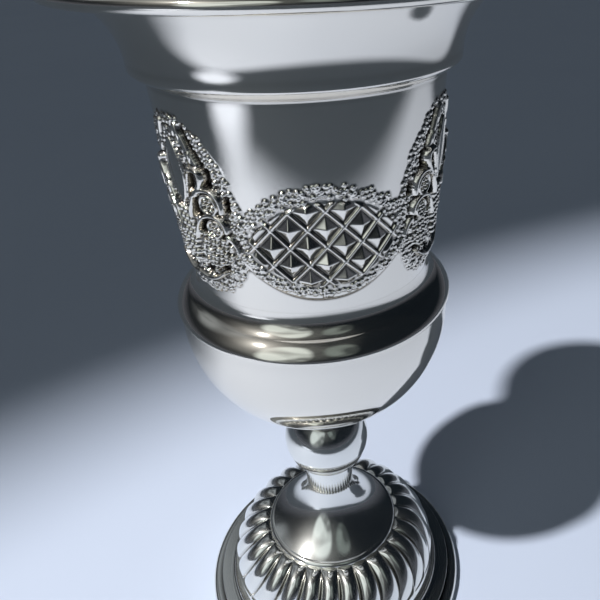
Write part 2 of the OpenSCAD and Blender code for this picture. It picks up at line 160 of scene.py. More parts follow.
def level(path: Array, distance: float) -> Array:
    """Offsets a curve whose two ends are level cut edges.

    Args:
        path: Points of the curve.
        distance: How far it moves to the left of its run.

    Returns:
        The moved points, with both ends moved along the radius alone.
    """
    moved = offset(path, distance)
    for end in (0, -1):
        moved[end] = path[end] - (distance, 0.0)
    return moved


# Meshes


def turned(profile: Array, columns: int, start: float = 0.0) -> Array:
    """Sweeps a profile round the axis.

    Args:
        profile: Radii and heights.
        columns: Places round the axis.
        start: Angle of the first place in degrees.

    Returns:
        Points of shape (rows, columns, 3).
    """
    a = np.radians(start) + np.linspace(0.0, 2.0 * np.pi, columns, endpoint=False)
    radius = profile[:, :1]
    height = np.broadcast_to(profile[:, 1:], (len(profile), columns))
    return np.stack([radius * np.cos(a), radius * np.sin(a), height], axis=-1)


def hollowness(profile: Array, closed: bool, reach: float = 0.5, full: float = 60.0) -> Array:
    """Finds where a profile turns inwards, which is where tarnish gathers and where shade is painted.

    Args:
        profile: Radii and heights. An open one starts and ends on the axis.
        closed: Whether the profile is a loop.
        reach: Distance over which the shade fades out.
        full: Turn in degrees from which the shade is whole.

    Returns:
        One value from 0 to 1 for each point.
    """
    ahead = np.roll(profile, -1, axis=0) - profile
    back = profile - np.roll(profile, 1, axis=0)
    aside = back[:, 0] * ahead[:, 1] - back[:, 1] * ahead[:, 0]
    turn = np.arctan2(aside, (back * ahead).sum(axis=1))
    if not closed:
        turn[[0, -1]] = 0.0
    ring = np.roll(profile, -1, axis=0)
    area = (profile[:, 0] * ring[:, 1] - profile[:, 1] * ring[:, 0]).sum()
    inward = np.clip(-turn * np.sign(area) / math.radians(full), 0.0, 1.0)
    apart = np.hypot(*(profile[:, None] - profile[None]).transpose(2, 0, 1))
    return (inward[None] * np.exp(-((apart / reach) ** 2))).max(axis=1)


def grid_object(
    name: str, grid: Array, closed: bool, recess: Array, sharp: float = 40.0
) -> bpy.types.Object:
    """Makes a mesh object from rings of points.

    Args:
        name: Name of the object.
        grid: Points in millimetres, of shape (rows, columns, 3). A row of equal points is a pole.
        closed: Whether the last row joins the first.
        recess: Tarnish and painted shade from 0 to 1, of a shape that fits (rows, columns).
        sharp: Angle in degrees from which an edge stays sharp.

    Returns:
        The object, linked to the scene.
    """
    rows, columns = grid.shape[:2]
    index = np.arange(rows * columns).reshape(rows, columns)
    pole = np.ptp(grid, axis=1).max(axis=1) < 1e-6
    index[pole] = index[pole][:, :1]
    below = index if closed else index[:-1]
    above = np.roll(index, -1, axis=0) if closed else index[1:]
    quads = np.stack([below, np.roll(below, -1, 1), np.roll(above, -1, 1), above], axis=-1).reshape(-1, 4)
    points = grid.reshape(-1, 3) * MM
    a, b, c, d = (points[quads[:, k]] for k in range(4))
    volume = (a * (np.cross(b, c) + np.cross(c, d))).sum()
    if volume < 0.0:
        quads = quads[:, ::-1]
    keep = quads != np.roll(quads, -1, axis=1)
    used, corners = np.unique(quads[keep], return_inverse=True)
    starts = np.concatenate([[0], np.cumsum(keep.sum(axis=1))[:-1]])
    mesh = bpy.data.meshes.new(name)
    mesh.vertices.add(len(used))
    mesh.vertices.foreach_set("co", points[used].ravel())
    mesh.loops.add(len(corners))
    mesh.loops.foreach_set("vertex_index", corners.ravel().astype(np.int32))
    mesh.polygons.add(len(starts))
    mesh.polygons.foreach_set("loop_start", starts.astype(np.int32))
    mesh.update(calc_edges=True)
    mesh.polygons.foreach_set("use_smooth", np.ones(len(starts), bool))
    mesh.set_sharp_from_angle(angle=math.radians(sharp))
    # The recess values darken the silver's colour, partly as tarnish and partly as painted shade.
    shade = mesh.attributes.new("recess", "FLOAT", "POINT")
    values = np.broadcast_to(recess, (rows, columns)).ravel()[used]
    shade.data.foreach_set("value", values.astype(np.float32))
    piece = bpy.data.objects.new(name, mesh)
    bpy.context.scene.collection.objects.link(piece)
    return piece


def turned_object(name: str, profile: Array, closed: bool = True, columns: int = 240) -> bpy.types.Object:
    """Makes a turned piece from its profile.

    Args:
        name: Name of the object.
        profile: Radii and heights.
        closed: Whether the profile is a loop. An open one ends on the axis.
        columns: Places round the axis.

    Returns:
        The object, linked to the scene.
    """
    return grid_object(name, turned(profile, columns), closed, hollowness(profile, closed)[:, None])


# Finishes


class NodeBench:
    """Adds and links the shader nodes of one node tree."""

    def __init__(self, tree: bpy.types.NodeTree) -> None:
        """Clears the tree.

        Args:
            tree: The node tree to work on.
        """
        self.tree = tree
        tree.nodes.clear()

    def add(self, kind: str, inputs: dict | None = None, **settings: object) -> bpy.types.Node:
        """Adds a node.

        Args:
            kind: Blender's name of the node type.
            inputs: Sockets by name or number, each with a value or with an output to link.
            settings: Properties of the node.

        Returns:
            The new node.
        """
        node = self.tree.nodes.new(kind)
        for key, value in settings.items():
            setattr(node, key, value)
        for key, value in (inputs or {}).items():
            if isinstance(value, bpy.types.NodeSocket):
                self.tree.links.new(value, node.inputs[key])
            else:
                node.inputs[key].default_value = value
        return node


@dataclass(frozen=True)
class Finish:
    """A procedural surface finish."""

    name: str

    def shade(self, bench: NodeBench) -> None:
        """Builds the finish's nodes."""
        raise NotImplementedError

    def material(self) -> bpy.types.Material:
        """Finds the finish's material, or makes it on the first call.

        Returns:
            The material.
        """
        found = bpy.data.materials.get(self.name)
        if found is None:
            found = bpy.data.materials.new(self.name)
            found.use_nodes = True
            self.shade(NodeBench(found.node_tree))
        return found


@dataclass(frozen=True)
class PolishedSilver(Finish):
    """Polished silver plate with smudges and a haze of fine scratches, and tarnish and painted shade in the
    recesses.

    Polishing runs round the axis, so highlights stretch along the height.
    """

    cool: Colour = (0.9, 0.86, 0.79)
    warm: Colour = (0.91, 0.84, 0.72)
    tarnish_and_shade: Colour = (0.05, 0.043, 0.038)
    glossy: float = 0.03
    smudged: float = 0.08
    stretch: float = 0.3
    haze: float = 0.05
    haze_roughness: float = 0.4
    recess_roughness: float = 0.16
    quarter_turn: float = 0.25
    tint_scale: float = 22.0
    smudge_scale: float = 75.0
    smudge_range: Pair = (0.42, 0.72)

    def shade(self, bench: NodeBench) -> None:
        """Builds the nodes of the silver.

        Args:
            bench: Where the nodes go.
        """
        place = bench.add("ShaderNodeTexCoord").outputs["Object"]
        tint = bench.add("ShaderNodeTexNoise", {"Vector": place, "Scale": self.tint_scale, "Detail": 2.0})
        silver = bench.add(
            "ShaderNodeMix",
            {0: tint.outputs[0], 6: (*self.cool, 1.0), 7: (*self.warm, 1.0)},
            data_type="RGBA",
        )
        recess = bench.add("ShaderNodeAttribute", attribute_name="recess").outputs["Fac"]
        # Recesses are painted towards near black, partly as tarnish and partly as painted shade.
        tarnished_and_shaded = bench.add(
            "ShaderNodeMix",
            {0: recess, 6: silver.outputs[2], 7: (*self.tarnish_and_shade, 1.0)},
            data_type="RGBA",
        )
        smudge = bench.add(
            "ShaderNodeTexNoise",
            {"Vector": place, "Scale": self.smudge_scale, "Detail": 5.0, "Roughness": 0.6},
        )
        low, high = self.smudge_range
        gloss = bench.add(
            "ShaderNodeMapRange",
            {0: smudge.outputs[0], 1: low, 2: high, 3: self.glossy, 4: self.smudged},
        )
        rough = bench.add(
            "ShaderNodeMath",
            {0: recess, 1: self.recess_roughness, 2: gloss.outputs[0]},
            operation="MULTIPLY_ADD",
        )
        around = bench.add("ShaderNodeTangent", direction_type="RADIAL", axis="Z")
        shine, soft = (
            bench.add(
                "ShaderNodeBsdfPrincipled",
                {
                    "Base Color": tarnished_and_shaded.outputs[2],
                    "Metallic": 1.0,
                    "Roughness": roughness,
                    "Anisotropic": self.stretch,
                    "Anisotropic Rotation": self.quarter_turn,
                    "Tangent": around.outputs[0],
                },
            )
            for roughness in (rough.outputs[0], self.haze_roughness)
        )
        metal = bench.add(
            "ShaderNodeMixShader",
            {0: self.haze, 1: shine.outputs[0], 2: soft.outputs[0]},
        )
        bench.add("ShaderNodeOutputMaterial", {"Surface": metal.outputs[0]})


@dataclass(frozen=True)
class DullMetal(Finish):
    """Plain hidden metal with turning marks and stains."""

    light: Colour = (0.6, 0.61, 0.63)
    dark: Colour = (0.36, 0.35, 0.33)
    stain_scale: float = 260.0
    stain_range: Pair = (0.35, 0.75)
    mark_scale: Place = (900.0, 900.0, 5200.0)
    mark_strength: float = 0.3
    mark_depth: float = 0.00008
    roughness: Pair = (0.28, 0.5)
    rough_range: Pair = (0.3, 0.7)

    def shade(self, bench: NodeBench) -> None:
        """Builds the nodes of the metal.

        Args:
            bench: Where the nodes go.
        """
        place = bench.add("ShaderNodeTexCoord").outputs["Object"]
        darkening = bench.add("ShaderNodeTexNoise", {"Vector": place, "Scale": self.stain_scale, "Detail": 4.0})
        first, last = self.stain_range
        ramp = bench.add("ShaderNodeMapRange", {0: darkening.outputs[0], 1: first, 2: last})
        colour = bench.add(
            "ShaderNodeMix",
            {0: ramp.outputs[0], 6: (*self.light, 1.0), 7: (*self.dark, 1.0)},
            data_type="RGBA",
        )
        first, last = self.rough_range
        low, high = self.roughness
        rough = bench.add("ShaderNodeMapRange", {0: darkening.outputs[0], 1: first, 2: last, 3: low, 4: high})
        stretched = bench.add("ShaderNodeMapping", {"Vector": place, "Scale": self.mark_scale})
        marks = bench.add(
            "ShaderNodeTexNoise",
            {"Vector": stretched.outputs[0], "Scale": 1.0, "Detail": 2.0},
        )
        bump = bench.add(
            "ShaderNodeBump",
            {"Strength": self.mark_strength, "Distance": self.mark_depth, "Height": marks.outputs[0]},
        )
        metal = bench.add(
            "ShaderNodeBsdfPrincipled",
            {
                "Base Color": colour.outputs[2],
                "Metallic": 1.0,
                "Roughness": rough.outputs[0],
                "Normal": bump.outputs[0],
            },
        )
        bench.add("ShaderNodeOutputMaterial", {"Surface": metal.outputs[0]})


@dataclass(frozen=True)
class PaleCloth(Finish):
    """Pale table covering of the stage."""

    name: str = "pale_table_cover"
    light: Colour = (0.66, 0.73, 0.88)
    dark: Colour = (0.6, 0.67, 0.82)
    cloud_scale: float = 5.0
    roughness: float = 0.7

    def shade(self, bench: NodeBench) -> None:
        """Builds the nodes of the table covering.

        Args:
            bench: Where the nodes go.
        """
        place = bench.add("ShaderNodeTexCoord").outputs["Object"]
        cloud = bench.add("ShaderNodeTexNoise", {"Vector": place, "Scale": self.cloud_scale, "Detail": 4.0})
        colour = bench.add(
            "ShaderNodeMix",
            {0: cloud.outputs[0], 6: (*self.light, 1.0), 7: (*self.dark, 1.0)},
            data_type="RGBA",
        )
        cover = bench.add(
            "ShaderNodeBsdfPrincipled",
            {"Base Color": colour.outputs[2], "Roughness": self.roughness},
        )
        bench.add("ShaderNodeOutputMaterial", {"Surface": cover.outputs[0]})


MIRROR = PolishedSilver("mirror_silver_plate")
WORN = PolishedSilver(
    "worn_silver_plate", cool=(0.88, 0.88, 0.85), warm=(0.9, 0.87, 0.79),
    glossy=0.05, smudged=0.11, stretch=0.35, haze=0.1,
)
STEEL = DullMetal("dull_zinc_steel")
BRASS = DullMetal("turned_brass", light=(0.78, 0.6, 0.3), dark=(0.45, 0.3, 0.13))


# Sub-assemblies


@dataclass
class SubAssembly:
    """A group of pieces that is built and dressed together."""

    def fit(
        self,
        piece: bpy.types.Object,
        finish: Finish,
        body: Body,
        slot: Slot,
        *nodes: str,
    ) -> bpy.types.Object:
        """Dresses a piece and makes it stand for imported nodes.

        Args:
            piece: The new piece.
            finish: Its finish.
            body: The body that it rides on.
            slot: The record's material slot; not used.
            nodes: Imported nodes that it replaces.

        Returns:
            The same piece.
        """
        piece.data.materials.append(finish.material())
        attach(piece, body.value)
        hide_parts(*nodes)
        LOG.info("%s stands for %s, %d faces", piece.name, ", ".join(nodes), len(piece.data.polygons))
        return piece

    def dress(self, node: str, finish: Finish, body: Body) -> None:
        """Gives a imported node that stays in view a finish.

        Args:
            node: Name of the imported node.
            finish: Its finish.
            body: The body that it is packed on.
        """
        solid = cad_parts[node]
        if not solid.material_slots:
            solid.data.materials.append(finish.material())
        for place in solid.material_slots:
            place.material = finish.material()
        LOG.info("%s keeps its solid on %s, in %s", node, body.value, finish.name)


@dataclass
class ReliefMap:
    """Height of struck ornament over one repeat of the wall, x across and y up."""

    across: Array
    up: Array
    ground: Array = field(init=False)
    relief: Array = field(init=False)
    dark: Array = field(init=False)

    def __post_init__(self) -> None:
        """Starts with a bare wall."""
        self.ground = np.zeros((len(self.up), len(self.across)))
        self.relief = np.zeros_like(self.ground)
        self.dark = np.zeros_like(self.ground)

    def window(self, low: Array, high: Array) -> tuple[slice, slice]:
        """Finds the rows and columns between two corners.

        Args:
            low: Lower left corner.
            high: Upper right corner.

        Returns:
            Slices of the rows and of the columns.
        """
        rows = slice(*np.searchsorted(self.up, (low[1], high[1])))
        columns = slice(*np.searchsorted(self.across, (low[0], high[0])))
        return rows, columns

    def around(self, x: float, y: float, reach: float) -> tuple[tuple[slice, slice], Array, Array]:
        """Finds the grid near a point.

        Args:
            x, y: The point.
            reach: Half width of the square round it.

        Returns:
            The window, and the distances from the point along x and y.
        """
        where = self.window(np.array((x - reach, y - reach)), np.array((x + reach, y + reach)))
        return where, self.across[where[1]][None] - x, self.up[where[0]][:, None] - y

    def lift(self, where: tuple[slice, slice], shape: Array) -> None:
        """Raises the relief in a window to a shape where that is higher."""
        self.relief[where] = np.maximum(self.relief[where], shape)

    def bead(self, x: float, y: float, radius: float, rise: float) -> None:
        """Adds a round bead."""
        where, dx, dy = self.around(x, y, radius)
        self.lift(where, rise * np.sqrt(np.clip(1.0 - (dx**2 + dy**2) / radius**2, 0.0, 1.0)))

    def punch(self, x: float, y: float, radius: float, rise: float) -> None:
        """Adds the raised disc with a ring and a dimple that a hollow punch leaves.

        Args:
            x, y: Its middle.
            radius: Its radius, of which the shares below are given.
            rise: Height of its ring.
        """
        reach, edge, slope, crest, width, floor = 1.2, 1.05, 0.25, 0.6, 0.3, 0.2
        where, dx, dy = self.around(x, y, reach * radius)
        apart = np.hypot(dx, dy) / radius
        disc = np.clip((edge - apart) / slope, 0.0, 1.0)
        ring = np.exp(-(((apart - crest) / width) ** 2))
        self.lift(where, rise * (floor + (1.0 - floor) * ring) * disc)

    def nearness(self, path: Array, start: float, stop: float) -> tuple[tuple[slice, slice], Array]:
        """Measures how near the grid lies to a path.

        Args:
            path: Points of the path.
            start, stop: Radius that counts as 1 at the first and last point.

        Returns:
            The window round the path, and the distance in radii.
        """
        reach = max(start, stop)
        where = self.window(path.min(axis=0) - reach, path.max(axis=0) + reach)
        x = self.across[where[1]][None]
        y = self.up[where[0]][:, None]
        near = np.full(np.broadcast_shapes(x.shape, y.shape), np.inf)
        for k, (a, b) in enumerate(zip(path[:-1], path[1:])):
            run = b - a
            t = np.clip(((x - a[0]) * run[0] + (y - a[1]) * run[1]) / max(run @ run, 1e-9), 0.0, 1.0)
            radius = mix(start, stop, (k + 0.5) / (len(path) - 1))
            near = np.minimum(near, np.hypot(x - a[0] - t * run[0], y - a[1] - t * run[1]) / radius)
        return where, near

    def tube(self, path: Array, start: float, stop: float, rise: float) -> None:
        """Adds a rounded stem along a path.

        Args:
            path: Points that it follows.
            start, stop: Radius at its first and last point.
            rise: Height of its crest.
        """
        where, near = self.nearness(path, start, stop)
        self.lift(where, rise * np.clip(1.0 - near**3, 0.0, 1.0) ** 0.8)

    def pit(self, path: Array, start: float, stop: float, depth: float) -> None:
        """Sinks a gap along a path, where nothing stands yet, and paints it dark as shade.

        Args:
            path: Points that it follows.
            start, stop: Radius at its first and last point.
            depth: How deep it goes below the wall.
        """
        edge, fade, bare = 1.2, 0.4, 0.3
        where, near = self.nearness(path, start, stop)
        free = np.clip(edge - near, 0.0, fade) / fade * (self.relief[where] < bare)
        self.ground[where] = np.minimum(self.ground[where], -depth * free)
        self.relief[where] *= 1.0 - free
        # Painted shade: the shallow gap is coloured dark to stand for a deep hole.
        self.dark[where] = np.maximum(self.dark[where], free)

    def matting(self, inside: Array, spacing: float, radius: float, rise: float, seed: int) -> None:
        """Covers a region with ring punches.

        Args:
            inside: Mask of the region.
            spacing: Distance between punches.
            radius: Radius of a punch's ring.
            rise: Height of the ring.
            seed: Seed of the punches' scatter.
        """
        scatter, sizes, rises, bare, clear = 0.22, (0.8, 1.1), (0.7, 1.15), 0.05, 0.1
        chance = np.random.default_rng(seed)
        row_gap = spacing * math.sqrt(3.0) / 2.0
        for j, y in enumerate(np.arange(self.up[0], self.up[-1], row_gap)):
            for x in np.arange(self.across[0], self.across[-1], spacing) + (j % 2) * spacing / 2.0:
                px, py = np.array((x, y)) + chance.uniform(-scatter, scatter, 2) * spacing
                i = min(np.searchsorted(self.up, py), len(self.up) - 1)
                k = min(np.searchsorted(self.across, px), len(self.across) - 1)
                if inside[i, k] and self.relief[i, k] < bare and self.dark[i, k] < clear:
                    self.punch(px, py, radius * chance.uniform(*sizes), rise * chance.uniform(*rises))

    def height(self) -> Array:
        """Adds the relief to its ground and softens the corners.

        Returns:
            The ornament's whole height above the wall.
        """
        height = self.ground + self.relief
        for axis in (0, 1):
            height = (np.roll(height, 1, axis) + 2.0 * height + np.roll(height, -1, axis)) / 4.0
        return height


@dataclass
class Ornament:
    """Struck lattice and grape panels, one of each in every repeat of the wall."""

    repeats: int = 3
    columns: int = 450
    lattice_angle: float = 5.5
    middle_radius: float = 23.6
    middle_height: float = 113.8
    lowest: float = 101.4
    highest: float = 135.3
    row_step: float = 0.12
    diamond: Pair = (5.6, 6.0)
    diamond_rise: float = 1.0
    diamond_power: float = 1.1
    bar_half_width: float = 0.36
    bar_rise: float = 0.5
    bar_groove: float = 0.5
    field_half: Pair = (13.0, 7.4)
    field_power: float = 2.4
    field_fade: float = 0.35
    border_half: Pair = (17.2, 10.2)
    border_power: float = 2.2
    border_gap: float = 0.3
    border_past: float = 2.0
    border_span: Pair = (-4.0, 2.0)
    border_inset: Pair = (1.0, 0.1)
    cushion_rise: float = 0.6
    cushion_edge: float = 1.1
    cushion_span: Pair = (-4.0, 3.0)
    flame_span: Pair = (4.8, 15.8)
    flame_half: float = 2.3
    flame_rise: float = 0.62
    flame_rim_rise: float = 0.3
    cluster: tuple[int, ...] = (3, 3, 3, 3, 3, 2, 2, 1)
    cluster_top: float = 3.6
    cluster_step: Pair = (1.3, 1.25)
    cluster_grape: Pair = (0.76, 1.05)
    rosettes: tuple[Place, ...] = ((6.5, 6.1, 1.95), (6.9, 2.1, 1.7))
    rosette_rise: float = 0.95
    seed_radius: float = 0.42
    seed_rises: Pair = (1.0, 1.1)
    bunch_rows: int = 8
    bunch_top: float = 0.2
    bunch_step: Pair = (0.98, 0.86)
    gap_depth: float = 0.35
    ground_rise: float = 0.15
    ground_edge: float = 1.2
    ground_gap: float = 0.2
    punch_spacing: float = 0.92
    punch_radius: float = 0.45
    punch_rise: float = 0.4
    outline: tuple[Pair, ...] = (
        (-11.2, 3.0), (-9.8, 7.6), (-7.8, 9.9), (-5.8, 11.2), (-3.8, 12.0), (0.2, 12.6), (4.2, 12.2),
        (8.2, 11.3), (12.2, 10.0), (15.2, 7.8), (17.2, 6.2), (18.6, 4.0), (19.5, 2.0),
    )

    def blank(self) -> ReliefMap:
        """Makes a bare map.

        Returns:
            The map of one repeat, with its middle at x = 0.
        """
        span = 2.0 * np.pi / self.repeats * self.middle_radius
        across = (np.arange(self.columns) / self.columns - 0.5) * span
        up = np.arange(self.lowest, self.highest, self.row_step) - self.middle_height
        return ReliefMap(across, up)

    def lattice(self) -> ReliefMap:
        """Builds the lattice panel with its diamonds, bars and punched border.

        Returns:
            The map of one repeat with the panel in its middle.
        """
        panel = self.blank()
        x, y = panel.across[None], panel.up[:, None]
        field_x, field_y = self.field_half
        border_x, border_y = self.border_half
        inner = field_y * (1.0 - (np.abs(x) / field_x) ** self.field_power) - np.abs(y)
        reach = np.clip(np.abs(x) / border_x, 0.0, 1.0)
        outer = border_y * (1.0 - reach**self.border_power) - np.abs(y)
        edge = np.clip(outer / self.cushion_edge, 0.0, 1.0)
        fade = np.interp(y, self.cushion_span, (1.0, 0.0))
        panel.ground = self.cushion_rise * np.sqrt(1.0 - (1.0 - edge) ** 2) * fade
        panel.relief = self.diamonds(x, y) * np.clip(inner / self.field_fade, 0.0, 1.0)
        inset = np.interp(y, self.border_span, self.border_inset)
        border = (inner < -self.border_gap) & (outer > inset) & (np.abs(x) < field_x + self.border_past)
        panel.matting(border, self.punch_spacing, self.punch_radius, self.punch_rise, 3)
        return panel

    def diamonds(self, x: Array, y: Array) -> Array:
        """Builds the lattice's bars and the pointed diamonds between them.

        Args:
            x, y: Places across and up.

        Returns:
            Heights above the panel's ground.
        """
        wide, tall = self.diamond
        u, v = x / wide + y / tall, x / wide - y / tall
        du, dv = (np.abs(c - np.floor(c) - 0.5) * 2.0 for c in (u, v))
        half_cell = 0.5 / math.hypot(1.0 / wide, 1.0 / tall)
        bar_gap = (1.0 - np.maximum(du, dv)) * half_cell
        slope = np.clip((bar_gap - self.bar_groove) / (half_cell - self.bar_groove), 0.0, 1.0)
        bars = self.bar_rise * np.sqrt(np.clip(1.0 - (bar_gap / self.bar_half_width) ** 2, 0.0, 1.0))
        return np.maximum(self.diamond_rise * slope**self.diamond_power, bars)

    def grapes(self) -> ReliefMap:
        """Builds the grape panel with its flame, vine, rosettes, clusters and punched ground.

        Returns:
            The map of one repeat with the panel in its middle.
        """
        panel = self.blank()
        x, y = panel.across[None], panel.up[:, None]
        heights, halves = (np.array(c) for c in zip(*self.outline))
        half = np.interp(y, heights, halves, left=0.0, right=0.0)
        margin = np.minimum(half - np.abs(x), np.minimum(y - heights[0], heights[-1] - y))
        panel.ground = self.ground_rise * np.clip(margin / self.ground_edge, 0.0, 1.0)
        self.flame(panel)
        aside, down = self.cluster_step
        for row, count in enumerate(self.cluster):
            for k in range(count):
                place = (k - (count - 1) / 2.0) * aside, self.cluster_top - down * row
                panel.bead(*place, *self.cluster_grape)
        for side in Side:
            self.vine(panel, side)
            self.flowers(panel, side)
            self.bunch(panel, side)
        for side in Side:
            self.gaps(panel, side)
        panel.matting(margin > self.ground_gap, self.punch_spacing, self.punch_radius, self.punch_rise, 7)
        return panel

    def flame(self, panel: ReliefMap) -> None:
        """Adds the smooth pointed oval in the upper middle of the grape panel.

        Args:
            panel: The map that it goes on.
        """
        fullness, sag, rim_place, rim_width = 0.8, 0.6, 0.88, 0.1
        x, y = panel.across[None], panel.up[:, None]
        low, high = self.flame_span
        t = np.clip((y - low) / (high - low), 0.0, 1.0)
        half = self.flame_half * np.sin(np.pi * t) ** fullness + 1e-6
        across = np.abs(x) / half
        body = self.flame_rise * np.sqrt(np.clip(1.0 - sag * across**2, 0.0, 1.0))
        rim = self.flame_rim_rise * np.exp(-(((across - rim_place) / rim_width) ** 2))
        inside = (across < 1.0) & (t > 0.0) & (t < 1.0)
        panel.relief = np.maximum(panel.relief, np.where(inside, body + rim, 0.0))

    def vine(self, panel: ReliefMap, side: Side) -> None:
        """Adds the stems of one half of the grape panel, each with its radii and its rise.

        Args:
            panel: The map that they go on.
            side: Which half.
        """
        mirror = np.array((side.value, 1.0))
        for path, start, stop, rise in (
            (line((2.3, 17.7), (3.0, 16.2), (3.8, 14.5)), 0.7, 0.8, 0.65),
            (line((3.9, 14.1), (4.6, 13.0), (5.2, 12.2)), 0.85, 0.75, 0.65),
            (bezier((4.1, 11.6), (7.0, 12.2), (6.4, 9.2), (4.2, 7.6), 14), 0.55, 0.75, 1.2),
            (line((3.1, 10.6), (2.5, 8.6), (2.1, 6.6)), 0.3, 0.3, 0.9),
            (bezier((2.0, 3.2), (2.6, 9.0), (9.6, 10.8), (9.0, 5.4), 22), 0.45, 0.6, 1.2),
            (bezier((2.2, -0.6), (3.2, 5.2), (9.4, 5.6), (9.2, 2.0), 20), 0.42, 0.55, 1.1),
            (bezier((0.3, -8.3), (3.4, -8.9), (5.4, -7.6), (6.9, -6.2), 14), 0.5, 0.42, 0.95),
            (bezier((9.2, 0.8), (10.0, 0.6), (10.6, -0.6), (10.8, -1.6), 8), 0.7, 0.25, 0.85),
        ):
            panel.tube(path * mirror, start, stop, rise)

    def flowers(self, panel: ReliefMap, side: Side) -> None:
        """Adds the rosettes of one half of the grape panel, each a ring round seven seeds.

        Args:
            panel: The map that they go on.
            side: Which half.
        """
        ring_share, wire_share, seed_share = 0.8, 0.2, 0.44
        mirror = np.array((side.value, 1.0))
        outer_rise, middle_rise = self.seed_rises
        for cx, cy, size in self.rosettes:
            ring = arc((cx, cy), ring_share * size, 0.0, 360.0, 27)
            panel.tube(ring * mirror, wire_share * size, wire_share * size, self.rosette_rise)
            for x, y in arc((cx, cy), seed_share * size, 0.0, 300.0, 5) * mirror:
                panel.bead(x, y, self.seed_radius, outer_rise)
            panel.bead(side.value * cx, cy, self.seed_radius, middle_rise)

    def bunch(self, panel: ReliefMap, side: Side) -> None:
        """Adds the bunch of small grapes in one half of the grape panel.

        Args:
            panel: The map that it goes on.
            side: Which half.
        """
        scatter, sizes, rises = 0.12, (0.47, 0.58), (0.75, 0.95)
        inner, upper, lower = (2.9, 4.6), (9.6, 10.2), (9.8, 6.0)
        last = self.bunch_rows - 1
        widest = self.bunch_rows // 2 - 1
        aside, down = self.bunch_step
        chance = np.random.default_rng(11)
        for row in range(self.bunch_rows):
            y = self.bunch_top - down * row
            low = mix(*inner, row / last)
            if row <= widest:
                high = mix(*upper, row / widest)
            else:
                high = mix(*lower, (row - widest) / (last - widest))
            for x in np.arange(low + 0.5 * (row % 2), high, aside):
                dx, dy = chance.uniform(-scatter, scatter, 2)
                panel.bead(side.value * (x + dx), y + dy, chance.uniform(*sizes), chance.uniform(*rises))

    def gaps(self, panel: ReliefMap, side: Side) -> None:
        """Sinks the gaps in one half of the vine, painted dark as shade.

        Args:
            panel: The map that they go in.
            side: Which half.
        """
        mirror = np.array((side.value, 1.0))
        for path, start, stop in (
            (line((3.5, 17.6), (4.9, 14.6)), 0.45, 0.5),
            (line((5.1, 14.3), (6.3, 12.2)), 0.5, 0.5),
            (line((4.0, 10.2), (3.1, 8.1)), 0.8, 0.6),
            (line((6.9, 11.4), (6.9, 9.6)), 0.6, 0.8),
            (line((3.9, 6.0), (3.1, 3.6)), 0.75, 0.7),
            (line((9.9, 7.4), (9.9, 5.8)), 0.5, 0.4),
            (line((4.6, 2.6), (3.2, 0.4)), 0.85, 0.7),
            (line((2.5, -3.6), (2.7, -4.2)), 0.5, 0.5),
            (line((2.0, -6.9), (3.4, -6.3)), 0.75, 0.65),
            (line((6.9, -5.6), (7.5, -5.2)), 0.5, 0.45),
        ):
            panel.pit(path * mirror, start, stop, self.gap_depth)

    def height(self) -> tuple[Array, Array]:
        """Builds the whole ornament round the wall.

        Returns:
            Height, and tarnish with painted shade, rows by columns.
        """
        lattice, grapes = self.lattice(), self.grapes()
        half = self.columns // 2
        vine = np.roll(grapes.height(), half, axis=1)
        # dark holds the painted shade of the vine's gaps.
        dark = np.roll(grapes.dark, half, axis=1)
        sunk = dark > 0.02
        one = np.where(sunk, vine, np.maximum(lattice.height(), vine))
        shade = np.maximum(self.recess(one), dark)
        return np.tile(one, (1, self.repeats)), np.tile(shade, (1, self.repeats))

    def recess(self, height: Array, reach: int = 5) -> Array:
        """Finds the hollows between raised details, for tarnish and painted shade.

        Args:
            height: The ornament's height.
            reach: Cells on each side that count as the surroundings.

        Returns:
            Tarnish and painted shade from 0 to 1 for each cell.
        """
        least, full, most = 0.025, 0.16, 0.85
        around = height
        for axis in (0, 1):
            around = sum(np.roll(around, k, axis=axis) for k in range(-reach, reach + 1)) / (2 * reach + 1)
        return np.clip((around - height - least) / full, 0.0, most)

    def heights(self) -> Array:
        """Returns the rows' heights above the table."""
        return np.arange(self.lowest, self.highest, self.row_step)

    def start_angle(self) -> float:
        """Returns the direction of the first column in degrees, from +X towards +Y."""
        return self.lattice_angle - 90.0 - 180.0 / self.repeats


